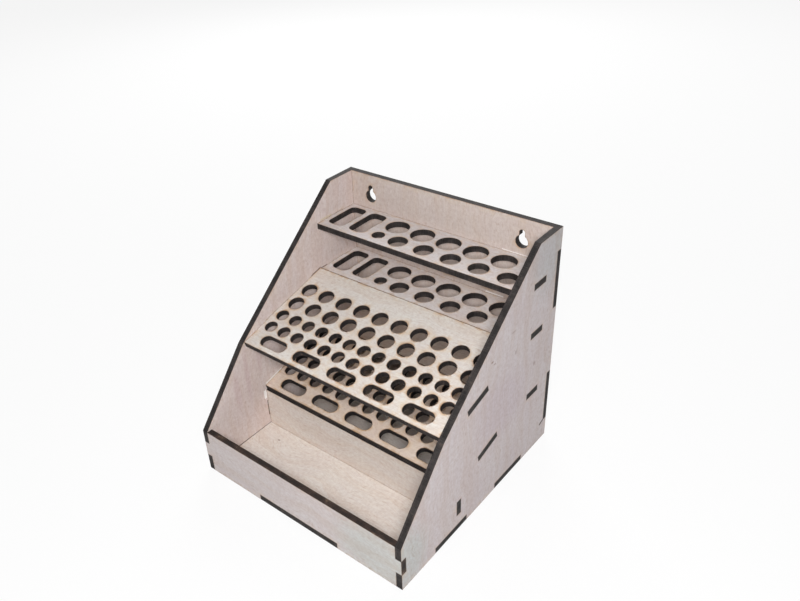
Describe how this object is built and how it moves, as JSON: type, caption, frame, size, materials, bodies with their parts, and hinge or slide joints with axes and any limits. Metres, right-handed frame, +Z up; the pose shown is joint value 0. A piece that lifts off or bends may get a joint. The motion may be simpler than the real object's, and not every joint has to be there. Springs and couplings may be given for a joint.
{
  "type": "hobby workstation organizer",
  "caption": "Slotted plywood bench organizer with sloping sides, an open front tray, two tilted perforated decks and level perforated shelves that hold small hand tools upright.",
  "frame": {"origin": "under the middle of the footprint, on the surface that the organizer stands on", "axes": "+X to the right seen from the front, +Y towards the back panel, +Z up"},
  "size_m": [0.16, 0.1586, 0.157],
  "materials": {
    "plywood": "bare laser-cut birch plywood with charred edges"
  },
  "bodies": {
    "root": {"left_side": "plywood", "right_side": "plywood", "bottom_panel": "plywood", "front_panel": "plywood", "back_panel": "plywood", "tray_divider": "plywood", "top_shelf": "plywood", "middle_shelf": "plywood", "lower_shelf": "plywood", "upper_deck": "plywood", "lower_deck": "plywood"}
  },
  "joints": []
}
